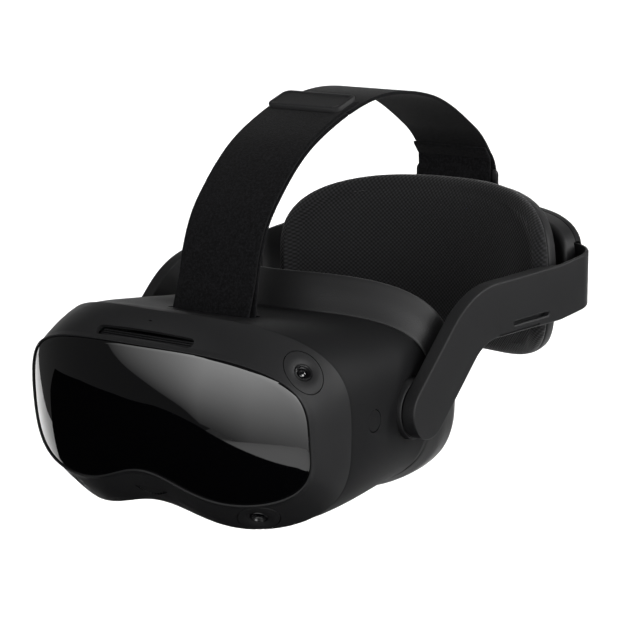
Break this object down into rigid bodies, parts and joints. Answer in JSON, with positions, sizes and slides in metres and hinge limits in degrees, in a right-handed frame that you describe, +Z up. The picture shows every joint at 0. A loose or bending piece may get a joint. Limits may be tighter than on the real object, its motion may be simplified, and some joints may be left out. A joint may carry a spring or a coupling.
{
  "type": "vr headset",
  "caption": "Standalone headset: glass-fronted visor with a face gasket, hinged side arms, a padded sliding rear module with size dial, and an adjustable top strap.",
  "frame": {"origin": "midway between the wearer's eyes", "axes": "+Z up, the visor's front faces -Y, the wearer's left is +X"},
  "size_m": [0.203, 0.3315, 0.2018],
  "materials": {
    "charcoal_plastic": "fine matte texture",
    "graphite_plastic": "fine matte texture",
    "black_plastic": "satin",
    "front_glass": "tinted black, polished",
    "strap_felt": "brushed loop webbing",
    "pad_mesh": "open knit over foam",
    "gasket_leather": "synthetic leather over foam",
    "steel": "brushed",
    "aluminium": "milled",
    "circuit_board": "solder resist",
    "lens_resin": "polished",
    "vent_gauze": "woven wire"
  },
  "bodies": {
    "visor": {"front_bezel": "charcoal_plastic", "front_glass": "front_glass", "vent_mesh": "vent_gauze", "camera_cover_top_left": "charcoal_plastic", "camera_cover_top_right": "charcoal_plastic", "camera_cover_bottom_left": "charcoal_plastic", "camera_cover_bottom_right": "charcoal_plastic", "camera_module_top_left": "black_plastic", "camera_module_top_right": "black_plastic", "camera_module_bottom_left": "black_plastic", "camera_module_bottom_right": "black_plastic", "main_shell": "graphite_plastic", "hinge_bush_left": "charcoal_plastic", "hinge_bush_right": "charcoal_plastic", "charging_port": "steel", "strap_anchor": "steel", "gasket_frame": "black_plastic", "face_gasket": "gasket_leather", "guide_rod_upper": "steel", "guide_rod_lower": "steel", "inner_frame": "black_plastic", "proximity_sensor": "black_plastic", "main_board": "circuit_board", "fan_housing": "black_plastic", "heat_sink": "aluminium", "strap_front": "strap_felt"},
    "lens_left": {"lens_barrel_left": "black_plastic", "lens_left": "lens_resin", "display_left": "black_plastic"},
    "lens_right": {"lens_barrel_right": "black_plastic", "lens_right": "lens_resin", "display_right": "black_plastic"},
    "eye_spacing_wheel": {"ipd_wheel": "black_plastic"},
    "power_button": {"power_button": "graphite_plastic"},
    "volume_rocker": {"volume_rocker": "graphite_plastic"},
    "fan": {"fan_impeller": "graphite_plastic"},
    "headband": {"hinge_pin_left": "steel", "hinge_pin_right": "steel", "arm_left": "charcoal_plastic", "arm_right": "charcoal_plastic", "arm_cover_left": "black_plastic", "arm_cover_right": "black_plastic", "speaker_left": "black_plastic", "speaker_right": "black_plastic", "band_left": "charcoal_plastic", "band_right": "charcoal_plastic", "strap_rear": "strap_felt", "strap_tab": "charcoal_plastic"},
    "rear_module": {"rear_pad": "pad_mesh", "pad_frame": "charcoal_plastic", "strap_loop": "black_plastic", "rear_housing": "charcoal_plastic", "rear_cover": "graphite_plastic", "battery_cell_left": "aluminium", "battery_cell_right": "aluminium"},
    "rack_left": {"rack_left": "black_plastic"},
    "rack_right": {"rack_right": "black_plastic"},
    "size_dial": {"size_dial": "charcoal_plastic"},
    "battery_release": {"battery_release": "black_plastic"}
  },
  "joints": [
    {"name": "headband_hinge", "type": "hinge", "parent": "visor", "child": "headband", "pos_m": [0, -0.0115, 0.005], "axis": [1, 0, 0], "range_deg": [-5, 25], "deforming": ["strap_front"]},
    {"name": "rear_slide", "type": "slide", "parent": "headband", "child": "rear_module", "axis": [0, 1, 0], "range_m": [-0.005, 0.03], "deforming": ["band_left", "band_right", "strap_rear"]},
    {"name": "size_dial_turn", "type": "hinge", "parent": "rear_module", "child": "size_dial", "pos_m": [0, 0.2, 0.051], "axis": [0, 1, 0], "range_deg": [-50, 290]},
    {"name": "rack_left_slide", "type": "slide", "parent": "rear_module", "child": "rack_left", "axis": [1, 0, 0], "range_m": [-0.0052, 0.0302]},
    {"name": "rack_right_slide", "type": "slide", "parent": "rear_module", "child": "rack_right", "axis": [-1, 0, 0], "range_m": [-0.0052, 0.0302]},
    {"name": "battery_release_press", "type": "slide", "parent": "rear_module", "child": "battery_release", "axis": [0, 0, 1], "range_m": [0, 0.002], "stiffness_N_per_m": 400, "springref_m": -0.001},
    {"name": "lens_left_slide", "type": "slide", "parent": "visor", "child": "lens_left", "axis": [1, 0, 0], "range_m": [-0.00375, 0.00375]},
    {"name": "lens_right_slide", "type": "slide", "parent": "visor", "child": "lens_right", "axis": [-1, 0, 0], "range_m": [-0.00376, 0.00376]},
    {"name": "eye_spacing_wheel_turn", "type": "hinge", "parent": "visor", "child": "eye_spacing_wheel", "pos_m": [0, -0.107, -0.015], "axis": [0, 1, 0], "range_deg": [-43.5, 43.5]},
    {"name": "power_button_press", "type": "slide", "parent": "visor", "child": "power_button", "axis": [-1, 0, 0], "range_m": [0, 0.0008], "stiffness_N_per_m": 600, "springref_m": -0.0005},
    {"name": "volume_rocker_tilt", "type": "hinge", "parent": "visor", "child": "volume_rocker", "pos_m": [-0.0905, -0.049, 0.009], "axis": [0, 0, 1], "range_deg": [-2.5, 2.5], "stiffness_Nm_per_rad": 0.02},
    {"name": "fan_spin", "type": "hinge", "parent": "visor", "child": "fan", "pos_m": [0, -0.101, 0.026], "axis": [0, 1, 0], "continuous": true}
  ],
  "couplings": [
    {"joint": "size_dial_turn", "follows": "rear_slide", "rad_per_m": 166.67},
    {"joint": "rack_left_slide", "follows": "rear_slide", "ratio": 1},
    {"joint": "rack_right_slide", "follows": "rear_slide", "ratio": 1},
    {"joint": "lens_right_slide", "follows": "lens_left_slide", "ratio": 1},
    {"joint": "eye_spacing_wheel_turn", "follows": "lens_left_slide", "rad_per_m": 200}
  ]
}
